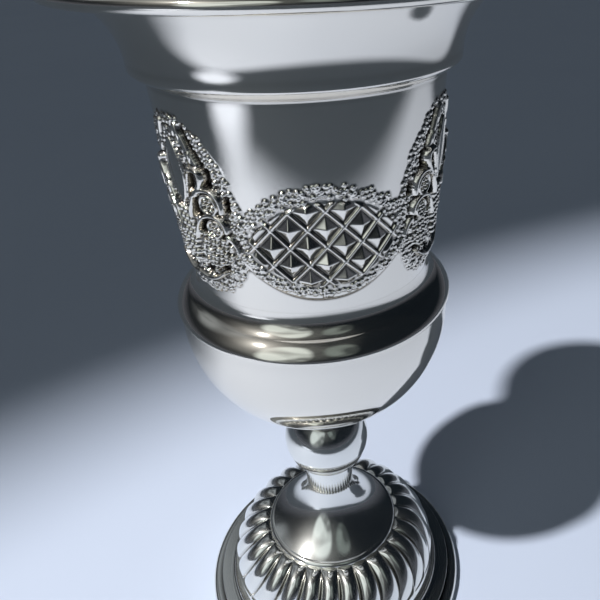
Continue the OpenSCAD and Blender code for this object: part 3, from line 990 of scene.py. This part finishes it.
@dataclass
class Cup(SubAssembly):
    """Lip wire, embossed beaker, collar ring and bowl."""

    lip_r: float = 36.6
    lip_wire_r: float = 0.95
    lip_flat_half: float = 0.57
    step_r: float = 27.4
    step_h: float = 2.6
    step_bead: float = 0.4
    flare_lean: float = 38.0
    flare_hold: float = 0.35
    brim_w: float = 4.6
    brim_h: float = 1.0
    wall_top_r: float = 25.0
    wall_bottom_r: float = 22.8
    beaker_t: float = 0.9
    collar_r: float = 27.5
    collar_round_h: float = 3.4
    collar_nose_h: float = 0.4
    collar_ledge_w: float = 2.0
    collar_edge_t: float = 0.008
    bowl_r: float = 27.1
    bowl_flat_r: float = 8.0
    bowl_t: float = 0.9
    mouth_h: float = 10.6
    ornament: Ornament = field(default_factory=Ornament)
    shoulder_z: float = field(init=False)
    collar_z: float = field(init=False)
    bowl_z: float = field(init=False)
    spigot_top_z: float = field(init=False)
    lip_z: float = field(init=False)
    step_z: float = field(init=False)

    def __post_init__(self) -> None:
        """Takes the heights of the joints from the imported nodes."""
        low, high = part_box("collar_ring")
        self.shoulder_z, self.collar_z = low.z / MM, high.z / MM
        low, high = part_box("lower_bowl")
        self.bowl_z, self.spigot_top_z = low.z / MM, high.z / MM
        low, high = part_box("lip_wire")
        self.lip_z = (low.z + high.z) / 2.0 / MM
        self.step_z = self.lip_z - self.mouth_h

    def lip(self) -> bpy.types.Object:
        """Builds the rolled wire of the mouth.

        Returns:
            The wire as a closed mesh.
        """
        flat = 180.0 - math.degrees(math.asin(self.lip_flat_half / self.lip_wire_r))
        section = arc((self.lip_r, self.lip_z), self.lip_wire_r, flat, -flat, 28)
        return turned_object("lip_roll", section, columns=288)

    def flare(self) -> Array:
        """Draws the underside of the flare.

        Returns:
            Points from the step up to the brim and out to the lip.
        """
        seat_r = self.lip_r - math.sqrt(self.lip_wire_r**2 - self.lip_flat_half**2)
        edge_z = self.lip_z - self.beaker_t / 2.0
        turn = np.array((seat_r - self.brim_w, edge_z - self.brim_h))
        angle = math.radians(self.flare_lean)
        lean = np.array((math.sin(angle), math.cos(angle)))
        rise = bezier(
            (self.step_r, self.step_z),
            (self.step_r, mix(self.step_z, turn[1], 0.5)),
            turn - lean * self.flare_hold * (turn[1] - self.step_z),
            turn,
            40,
        )
        brim = bezier(
            turn,
            turn + lean * 0.5 * self.brim_h,
            (mix(turn[0], seat_r, 0.5), edge_z),
            (seat_r, edge_z),
            20,
        )
        return chain(rise, brim)

    def step(self) -> Array:
        """Draws the step's hollow underside and its rounded edge.

        Returns:
            Points from the wall out to the edge.
        """
        step_low = self.step_z - self.step_h
        bead = self.step_bead
        bevel = bead / 3.0
        edge = np.array((self.step_r - bead / 2.0, self.step_z - 2.0 * bead))
        reach = (edge[0] - self.wall_top_r) / 2.0
        nose_z = self.step_z - bead
        under = bezier(
            (self.wall_top_r, step_low),
            (self.wall_top_r, mix(step_low, edge[1], 0.5)),
            edge - reach,
            edge,
            16,
        )
        nose = bezier(edge, edge + bevel, (self.step_r, nose_z - bevel), (self.step_r, nose_z), 8)
        return chain(under, nose)

    def beaker(self) -> bpy.types.Object:
        """Builds the flare, the step and the wall with its struck ornament.

        Returns:
            The beaker as one closed sheet.
        """
        step_low = self.step_z - self.step_h
        rows = self.ornament.heights()
        taper = np.interp(rows, (self.collar_z, step_low), (self.wall_bottom_r, self.wall_top_r))
        foot = line((self.wall_bottom_r, self.shoulder_z), (self.wall_bottom_r, self.collar_z))
        wall = np.stack([taper, rows], axis=1)
        flare = self.flare()
        smooth = chain(foot, line((self.wall_top_r, step_low)), flare)
        lining = offset(smooth, self.beaker_t)[::-1]
        skin = chain(foot, wall, self.step(), flare, lining)
        columns = self.ornament.columns * self.ornament.repeats
        grid = turned(skin, columns, self.ornament.start_angle())
        # The ornament's darkening is tarnish and painted shade in its hollows, and painted shade in its
        # gaps.
        height, darkening = self.ornament.height()
        shade = np.tile(hollowness(skin, True)[:, None], (1, columns))
        first = len(foot)
        band = slice(first, first + len(rows))
        radius = np.hypot(grid[band, :, 0], grid[band, :, 1])
        grid[band, :, :2] *= (1.0 + height / radius)[..., None]
        shade[band] = darkening
        return grid_object("beaker_embossed", grid, True, shade, sharp=50.0)

    def collar(self) -> bpy.types.Object:
        """Builds the rounded ring over the seam.

        Returns:
            The collar as a closed mesh.
        """
        edge_r = self.wall_bottom_r + self.collar_edge_t
        ledge_r = self.wall_bottom_r + self.collar_ledge_w
        low, high = self.shoulder_z, self.collar_z
        round_z = low + self.collar_round_h
        nose_z = low + self.collar_nose_h
        corner = (self.collar_r, low)
        nose = (self.collar_r, nose_z)
        ledge = (ledge_r, round_z)
        bulge = bezier((self.bowl_r, low), corner, corner, nose, 16)
        shoulder = bezier(
            nose,
            (self.collar_r, mix(nose_z, round_z, 0.25)),
            (mix(ledge_r, self.collar_r, 0.5), mix(nose_z, round_z, 0.75)),
            ledge,
            36,
        )
        fillet = bezier(
            ledge,
            (mix(edge_r, ledge_r, 0.25), mix(round_z, high, 0.25)),
            (edge_r, mix(round_z, high, 0.5)),
            (edge_r, high),
            30,
        )
        back = line((self.wall_bottom_r, high), (self.wall_bottom_r, low))
        return turned_object("collar_turned", chain(back, bulge, shoulder, fillet), columns=288)

    def bowl(self) -> bpy.types.Object:
        """Builds the spun bowl with its shoulder and spigot.

        Returns:
            The bowl as a closed mesh.
        """
        round_z = self.bowl_z + math.sqrt(self.bowl_r**2 - self.bowl_flat_r**2)
        turn_z = self.shoulder_z - self.bowl_t
        spigot_r = self.wall_bottom_r - self.beaker_t
        bore_r = spigot_r - self.bowl_t
        start = -math.degrees(math.acos(self.bowl_flat_r / self.bowl_r))
        skin = chain(arc((0.0, round_z), self.bowl_r, start, 0.0, 72), line((self.bowl_r, turn_z)))
        lining = offset(skin, self.bowl_t)
        spigot = line(
            (self.bowl_r, self.shoulder_z),
            (spigot_r, self.shoulder_z),
            (spigot_r, self.spigot_top_z),
            (bore_r, self.spigot_top_z),
            (bore_r, turn_z),
        )
        bottom, floor = line((0.0, self.bowl_z)), line((0.0, self.bowl_z + self.bowl_t))
        path = chain(bottom, skin, spigot, lining[::-1], floor)
        return turned_object("bowl_spun", path, closed=False, columns=288)

    def build(self) -> None:
        """Builds and dresses the cup."""
        self.fit(self.lip(), MIRROR, Body.GOBLET, Slot.SILVER, "lip_wire")
        self.fit(self.beaker(), MIRROR, Body.GOBLET, Slot.SILVER, "beaker")
        self.fit(self.collar(), MIRROR, Body.GOBLET, Slot.SILVER, "collar_ring")
        self.fit(self.bowl(), MIRROR, Body.GOBLET, Slot.SILVER, "lower_bowl")


@dataclass
class Pedestal(SubAssembly):
    """Ball knop, stem and the bead wire at the stem's base."""

    knop_r: float = 10.0
    knop_top_r: float = 7.2
    throat_r: float = 6.4
    knop_t: float = 1.0
    neck_r: float = 5.8
    neck_h: float = 6.2
    stem_t: float = 1.0
    stem_base_r: float = 15.6
    bead_w: float = 1.2
    bead_h: float = 1.3
    knop_z: float = field(init=False)
    bowl_z: float = field(init=False)
    spigot_z: float = field(init=False)
    ledge_z: float = field(init=False)
    neck_z: float = field(init=False)

    def __post_init__(self) -> None:
        """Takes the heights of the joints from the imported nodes."""
        low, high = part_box("knop_upper")
        self.knop_z, self.bowl_z = low.z / MM, high.z / MM
        self.spigot_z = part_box("knop_lower")[0].z / MM
        low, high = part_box("stem_cone")
        self.ledge_z, self.neck_z = low.z / MM, high.z / MM

    def upper_knop(self) -> bpy.types.Object:
        """Builds the upper half of the ball with its throat.

        Returns:
            The half as a closed mesh.
        """
        turn = math.degrees(math.acos(self.throat_r / self.knop_r))
        throat_z = self.knop_z + math.sqrt(self.knop_r**2 - self.throat_r**2)
        middle = mix(throat_z, self.bowl_z, 0.5)
        ball = arc((0.0, self.knop_z), self.knop_r, 0.0, turn, 40)
        throat = bezier(
            (self.throat_r, throat_z),
            (self.throat_r - self.knop_t, middle),
            (self.knop_top_r, middle),
            (self.knop_top_r, self.bowl_z),
            28,
        )
        skin = chain(ball, throat)
        return turned_object("knop_upper_spun", chain(skin, level(skin, self.knop_t)[::-1]))

    def lower_knop(self) -> bpy.types.Object:
        """Builds the lower half of the ball with its spigot.

        Returns:
            The half as a closed mesh.
        """
        spigot_r = self.neck_r - self.stem_t
        bore_r = spigot_r - self.knop_t
        inner_r = self.knop_r - self.knop_t
        neck_turn = -math.degrees(math.acos(self.neck_r / self.knop_r))
        bore_turn = -math.degrees(math.acos(bore_r / inner_r))
        ball = arc((0.0, self.knop_z), self.knop_r, neck_turn, 0.0, 40)
        lining = arc((0.0, self.knop_z), inner_r, 0.0, bore_turn, 24)
        spigot = line(
            (bore_r, self.spigot_z),
            (spigot_r, self.spigot_z),
            (spigot_r, self.neck_z),
            (self.neck_r, self.neck_z),
        )
        return turned_object("knop_lower_spun", chain(spigot, ball, lining))

    def stem(self) -> bpy.types.Object:
        """Builds the neck and the trumpet below it.

        Returns:
            The stem as a closed mesh.
        """
        low, high = self.ledge_z, self.neck_z
        flare = bezier(
            (self.stem_base_r, low + self.bead_h),
            (mix(self.stem_base_r, self.neck_r, 0.75), mix(low, high, 0.25)),
            (self.neck_r, mix(low, high, 0.5)),
            (self.neck_r, high - self.neck_h),
            56,
        )
        skin = chain(line((self.stem_base_r, low)), flare, line((self.neck_r, high)))
        return turned_object("stem_spun", chain(skin, level(skin, self.stem_t)[::-1]))

    def bead(self) -> bpy.types.Object:
        """Builds the half-round wire at the stem's base.

        Returns:
            The wire as a closed mesh.
        """
        corner = (self.stem_base_r, self.ledge_z)
        top = arc((0.0, 0.0), 1.0, 0.0, 90.0, 14) * (self.bead_w, self.bead_h) + corner
        return turned_object("bead_half_round", chain(line(corner), top))

    def build(self) -> None:
        """Builds and dresses the pedestal."""
        self.fit(self.upper_knop(), WORN, Body.GOBLET, Slot.SILVER, "knop_upper")
        self.fit(self.lower_knop(), WORN, Body.GOBLET, Slot.SILVER, "knop_lower")
        self.fit(self.stem(), WORN, Body.GOBLET, Slot.SILVER, "stem_cone")
        self.fit(self.bead(), WORN, Body.GOBLET, Slot.SILVER, "bead_wire")


@dataclass
class Foot(SubAssembly):
    """Gadrooned dome and stepped rim."""

    band_top_r: float = 17.0
    band_end_r: float = 27.6
    band_foot_r: float = 29.3
    band_cove_h: float = 2.6
    band_full: float = 0.45
    band_slope: float = 0.08
    band_t: float = 1.0
    ledge_w: float = 3.4
    gadroons: int = 28
    gadroon_rise: float = 1.5
    gadroon_sweep: float = -10.0
    gadroon_bow: float = 5.0
    gadroon_reach: float = 0.82
    lobe_power: float = 0.62
    swell_power: float = 0.6
    groove_width: float = 0.55
    groove_shade: float = 0.75
    rim_r: float = 34.4
    rim_lip_h: float = 0.8
    rim_step_h: float = 3.0
    rim_step_w: float = 2.3
    rim_seat_w: float = 1.6
    rim_base_w: float = 2.2
    rim_lift: float = 0.8
    places: int = 24
    rows: int = 56
    seat_z: float = field(init=False)
    ledge_z: float = field(init=False)

    def __post_init__(self) -> None:
        """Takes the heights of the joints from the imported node."""
        low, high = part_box("gadroon_band")
        self.seat_z, self.ledge_z = low.z / MM, high.z / MM

    def crown(self) -> Array:
        """Draws the dome that the gadroons stand on.

        Returns:
            Points from the ledge out to the cove.
        """
        cove_z = self.seat_z + self.band_cove_h
        return bezier(
            (self.band_top_r, self.ledge_z),
            (mix(self.band_top_r, self.band_end_r, self.band_full),
             mix(self.ledge_z, cove_z, self.band_slope)),
            (mix(self.band_end_r, self.band_top_r, self.band_slope),
             mix(cove_z, self.ledge_z, self.band_full)),
            (self.band_end_r, cove_z),
            self.rows,
        )

    def cove(self) -> Array:
        """Draws the hollow between the dome and the rim.

        Returns:
            Points from the dome out to the band's foot.
        """
        cove_z = self.seat_z + self.band_cove_h
        edge_z = self.seat_z + self.rim_lip_h
        return bezier(
            (self.band_end_r, cove_z),
            (self.band_end_r, mix(cove_z, self.seat_z, 0.4)),
            (mix(self.band_end_r, self.band_foot_r, 0.4), edge_z),
            (self.band_foot_r, edge_z),
            16,
        )

    def section(self) -> tuple[Array, Array]:
        """Draws the band's section, over its upper side and back under it.

        Returns:
            The section's points, and how far along the dome each lies, from 0 to 1.
        """
        crown = self.crown()
        under = offset(crown[::-1], self.band_t)
        inner_r = self.band_top_r - self.ledge_w
        top, bottom = line((inner_r, self.ledge_z)), line((inner_r, self.ledge_z - self.band_t))
        foot = line((self.band_foot_r, self.seat_z), (self.band_foot_r - self.band_t, self.seat_z))
        path = chain(top, crown, self.cove(), foot, under, bottom)
        along = np.ones(len(path))
        along[[0, -1]] = 0.0
        along[1:len(crown) + 1] = np.linspace(0.0, 1.0, len(crown))
        along[-1 - len(under):-1] = np.linspace(1.0, 0.0, len(under))
        return path, along

    def dome(self) -> bpy.types.Object:
        """Builds the band of swirled gadroons.

        Returns:
            The band as one closed sheet.
        """
        path, along = self.section()
        columns = self.gadroons * self.places
        sweep = self.gadroon_sweep * along + self.gadroon_bow * np.sin(np.pi * along)
        share = (np.arange(columns) % self.places) / self.places
        lobe = np.sin(np.pi * share) ** self.lobe_power
        swell = np.sin(np.pi * np.clip(along / self.gadroon_reach, 0.0, 1.0)).clip(0.0) ** self.swell_power
        swell[self.rows + 2:] = 0.0
        out = offset(path, 1.0) - path
        rise = self.gadroon_rise * swell[:, None] * lobe[None]
        radius = path[:, :1] + rise * out[:, :1]
        height = path[:, 1:] + rise * out[:, 1:]
        a = np.radians(np.arange(columns) * 360.0 / columns)[None] + np.radians(sweep)[:, None]
        grid = np.stack([radius * np.cos(a), radius * np.sin(a), height], axis=-1)
        # Painted shade darkens the grooves between the lobes.
        depth = np.clip(1.0 - lobe / self.groove_width, 0.0, 1.0)
        groove = self.groove_shade * depth[None] * swell[:, None]
        shade = np.maximum(groove, hollowness(path, True)[:, None])
        return grid_object("gadroon_dome", grid, True, shade, sharp=75.0)

    def rim(self) -> bpy.types.Object:
        """Builds the stepped ring under the dome.

        Returns:
            The ring as a closed mesh.
        """
        nose = self.rim_step_h / 2.0
        base_out = self.rim_r - nose
        base_in = base_out - self.rim_base_w
        seat_in = self.band_foot_r - self.rim_seat_w
        step_r = self.band_foot_r + self.rim_step_w
        top_z = self.seat_z + self.rim_lip_h
        soft = self.rim_lip_h / 2.0
        under = line(
            (seat_in, self.rim_lift),
            (base_in - self.rim_lift, self.rim_lift),
            (base_in, 0.0),
            (base_out, 0.0),
        )
        edge = arc((base_out, nose), nose, -90.0, 90.0, 36)
        step = line((step_r, self.rim_step_h))
        upper = bezier((step_r, top_z - soft), (step_r, top_z), (step_r, top_z), (step_r - soft, top_z), 10)
        seat = line((self.band_foot_r, top_z), (self.band_foot_r, self.seat_z), (seat_in, self.seat_z))
        return turned_object("rim_stepped", chain(under, edge, step, upper, seat), columns=288)

    def build(self) -> None:
        """Builds and dresses the foot."""
        self.fit(self.dome(), WORN, Body.GOBLET, Slot.SILVER, "gadroon_band")
        self.fit(self.rim(), WORN, Body.GOBLET, Slot.SILVER, "foot_rim")


@dataclass
class ClampHardware(SubAssembly):
    """Threaded rod, boss, plate, washer and nut that hold the goblet together."""

    rod_r: float = 2.5
    pitch: float = 0.8
    thread_depth: float = 0.42
    thread_length: float = 14.0
    lead_in: float = 0.5
    columns: int = 48
    rows_per_turn: int = 8

    def rod(self) -> bpy.types.Object:
        """Builds the rod with a right-hand thread at its lower end.

        Returns:
            The rod as a closed mesh.
        """
        low, high = (corner.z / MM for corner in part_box("stem_rod"))
        z = np.concatenate([
            [low], np.arange(low, low + self.thread_length, self.pitch / self.rows_per_turn),
            [low + self.thread_length + self.pitch, high, high],
        ])
        a = np.linspace(0.0, 2.0 * np.pi, self.columns, endpoint=False)
        phase = (z[:, None] / self.pitch - a[None] / (2.0 * np.pi)) % 1.0
        depth = self.thread_depth * np.abs(2.0 * phase - 1.0)
        depth = np.maximum(depth, np.clip(self.lead_in - (z - low), 0.0, None)[:, None])
        radius = self.rod_r - depth
        radius[-3:-1] = self.rod_r
        radius[[0, -1]] = 0.0
        height = np.broadcast_to(z[:, None], radius.shape)
        grid = np.stack([radius * np.cos(a), radius * np.sin(a), height], axis=-1)
        return grid_object("rod_threaded", grid, False, np.zeros((1, 1)))

    def build(self) -> None:
        """Builds and dresses the clamp hardware."""
        self.fit(self.rod(), STEEL, Body.GOBLET, Slot.STEEL, "stem_rod")
        for node, finish, body in (
            ("bowl_boss", BRASS, Body.GOBLET),
            ("clamp_plate", STEEL, Body.CLAMP),
            ("lock_washer", STEEL, Body.CLAMP),
            ("clamp_nut", STEEL, Body.NUT),
        ):
            self.dress(node, finish, body)


# Stage


@dataclass
class PhotoView:
    """The camera at the photograph's angle, with angles in degrees."""

    place: Place = (0.0, -0.1074, 0.1563)
    pitch: float = 32.2
    yaw: float = 5.44
    roll: float = -1.46
    lens: float = 36.0
    sensor: float = 36.0
    shift_x: float = -0.108
    near: float = 0.005

    def build(self) -> None:
        """Makes the camera and sets it as the scene's own."""
        pitch, yaw, roll = (math.radians(v) for v in (self.pitch, self.yaw, self.roll))
        ahead = Vector((math.sin(yaw) * math.cos(pitch), math.cos(yaw) * math.cos(pitch), -math.sin(pitch)))
        level_right = ahead.cross(Vector((0.0, 0.0, 1.0))).normalized()
        level_up = level_right.cross(ahead)
        right = math.cos(roll) * level_right + math.sin(roll) * level_up
        up = math.cos(roll) * level_up - math.sin(roll) * level_right
        lens = bpy.data.cameras.new("photo_view")
        lens.lens = self.lens
        lens.sensor_width = self.sensor
        lens.shift_x = self.shift_x
        lens.clip_start = self.near
        camera = bpy.data.objects.new("photo_view", lens)
        turn = Matrix((right, up, -ahead)).transposed().to_4x4()
        camera.matrix_world = Matrix.Translation(self.place) @ turn
        bpy.context.scene.collection.objects.link(camera)
        bpy.context.scene.camera = camera


@dataclass
class SoftSpot:
    """A soft studio lamp that lights an oval patch, stretched along the lamp's run."""

    name: str
    place: Place
    target: Place
    power: float
    beam: float
    stretch: float = 1.0
    edge: float = 0.2
    radius: float = 0.045

    def build(self) -> None:
        """Makes the lamp."""
        lamp = bpy.data.lights.new(self.name, "SPOT")
        lamp.energy = self.power
        lamp.spot_size = math.radians(self.beam)
        lamp.spot_blend = self.edge
        lamp.shadow_soft_size = self.radius
        spot = bpy.data.objects.new(self.name, lamp)
        aim = (Vector(self.target) - Vector(self.place)).to_track_quat("-Z", "Y").to_matrix().to_4x4()
        oval = Matrix.Diagonal((1.0, self.stretch, 1.0, 1.0))
        spot.matrix_world = Matrix.Translation(self.place) @ aim @ oval
        bpy.context.scene.collection.objects.link(spot)


@dataclass(frozen=True)
class Glow:
    """A soft light patch of the surroundings, drawn out upwards where the squash is below 1."""

    colour: Colour
    source: Place
    start: float
    full: float = 1.0
    squash: float = 1.0


@dataclass
class Studio:
    """Pale floor, dim surroundings that are lighter on the left and at the back, and soft lamps."""

    floor_half: float = 6.0
    dim: Colour = (0.006, 0.009, 0.013)
    glows: tuple[Glow, ...] = (
        Glow((0.06, 0.067, 0.07), (-0.37, -0.52, 0.77), 0.6),
        Glow((0.5, 0.56, 0.57), (-0.48, -0.8, 0.36), 0.905, 0.955, squash=0.45),
        Glow((0.15, 0.18, 0.18), (0.3, -0.83, 0.45), 0.955, 0.985, squash=0.45),
        Glow((0.17, 0.19, 0.21), (-0.5, 0.45, 0.74), 0.84, 0.95),
    )
    patch_scale: float = 2.4
    patch_range: Pair = (0.4, 0.62)
    patch_share: Pair = (0.3, 1.4)
    horizon: Colour = (0.08, 0.088, 0.11)
    horizon_height: float = 0.25
    lamps: tuple[SoftSpot, ...] = (
        SoftSpot("key_lamp", (-1.12, -0.54, 1.7), (0.09, -0.025, 0.0), 195.0, 9.3, 2.0),
        SoftSpot("left_lamp", (-1.12, -0.54, 1.7), (-0.34, -0.25, 0.0), 230.0, 6.0),
    )

    def floor(self) -> None:
        """Makes the pale floor."""
        h = self.floor_half
        mesh = bpy.data.meshes.new("pale_floor")
        mesh.from_pydata([(-h, -h, 0.0), (h, -h, 0.0), (h, h, 0.0), (-h, h, 0.0)], [], [(0, 1, 2, 3)])
        mesh.materials.append(PaleCloth().material())
        floor = bpy.data.objects.new("pale_floor", mesh)
        bpy.context.scene.collection.objects.link(floor)

    def surroundings(self) -> None:
        """Makes the dim surroundings, with soft glows and a band at the horizon."""
        world = bpy.data.worlds.new("dim_studio")
        world.use_nodes = True
        bench = NodeBench(world.node_tree)
        place = bench.add("ShaderNodeTexCoord").outputs["Generated"]
        patches = bench.add(
            "ShaderNodeTexNoise",
            {"Vector": place, "Scale": self.patch_scale, "Detail": 1.0},
        )
        first, last = self.patch_range
        least, most = self.patch_share
        uneven = bench.add(
            "ShaderNodeMapRange",
            {0: patches.outputs[0], 1: first, 2: last, 3: least, 4: most},
        )
        lit = (*self.dim, 1.0)
        for glow in self.glows:
            flat = bench.add(
                "ShaderNodeVectorMath",
                {0: place, 1: (1.0, 1.0, glow.squash)},
                operation="MULTIPLY",
            )
            aim = bench.add("ShaderNodeVectorMath", {0: flat.outputs[0]}, operation="NORMALIZE")
            facing = bench.add(
                "ShaderNodeVectorMath",
                {0: aim.outputs[0], 1: Vector(glow.source).normalized()},
                operation="DOT_PRODUCT",
            )
            near = bench.add(
                "ShaderNodeMapRange",
                {0: facing.outputs["Value"], 1: glow.start, 2: glow.full},
                interpolation_type="SMOOTHSTEP",
            )
            share = bench.add(
                "ShaderNodeMath",
                {0: near.outputs[0], 1: uneven.outputs[0]},
                operation="MULTIPLY",
            )
            mixed = bench.add(
                "ShaderNodeMix",
                {0: share.outputs[0], 6: lit, 7: (*glow.colour, 1.0)},
                data_type="RGBA",
                clamp_factor=False,
            )
            lit = mixed.outputs[2]
        split = bench.add("ShaderNodeSeparateXYZ", {0: place})
        low = bench.add(
            "ShaderNodeMapRange",
            {0: split.outputs["Z"], 1: 0.0, 2: self.horizon_height, 3: 1.0, 4: 0.0},
        )
        colour = bench.add(
            "ShaderNodeMix",
            {0: low.outputs[0], 6: lit, 7: (*self.horizon, 1.0)},
            data_type="RGBA",
        )
        sky = bench.add("ShaderNodeBackground", {"Color": colour.outputs[2], "Strength": 1.0})
        bench.add("ShaderNodeOutputWorld", {"Surface": sky.outputs[0]})
        bpy.context.scene.world = world

    def build(self) -> None:
        """Makes the stage and sets the plain view transform."""
        self.floor()
        self.surroundings()
        for lamp in self.lamps:
            lamp.build()
        bpy.context.scene.view_settings.view_transform = "Standard"


def main() -> None:
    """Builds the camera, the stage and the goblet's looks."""
    logging.basicConfig(level=logging.INFO, format="%(name)s: %(message)s")
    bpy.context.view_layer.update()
    PhotoView().build()
    Studio().build()
    for part in (Cup(), Pedestal(), Foot(), ClampHardware()):
        part.build()


if __name__ == "__main__":
    main()
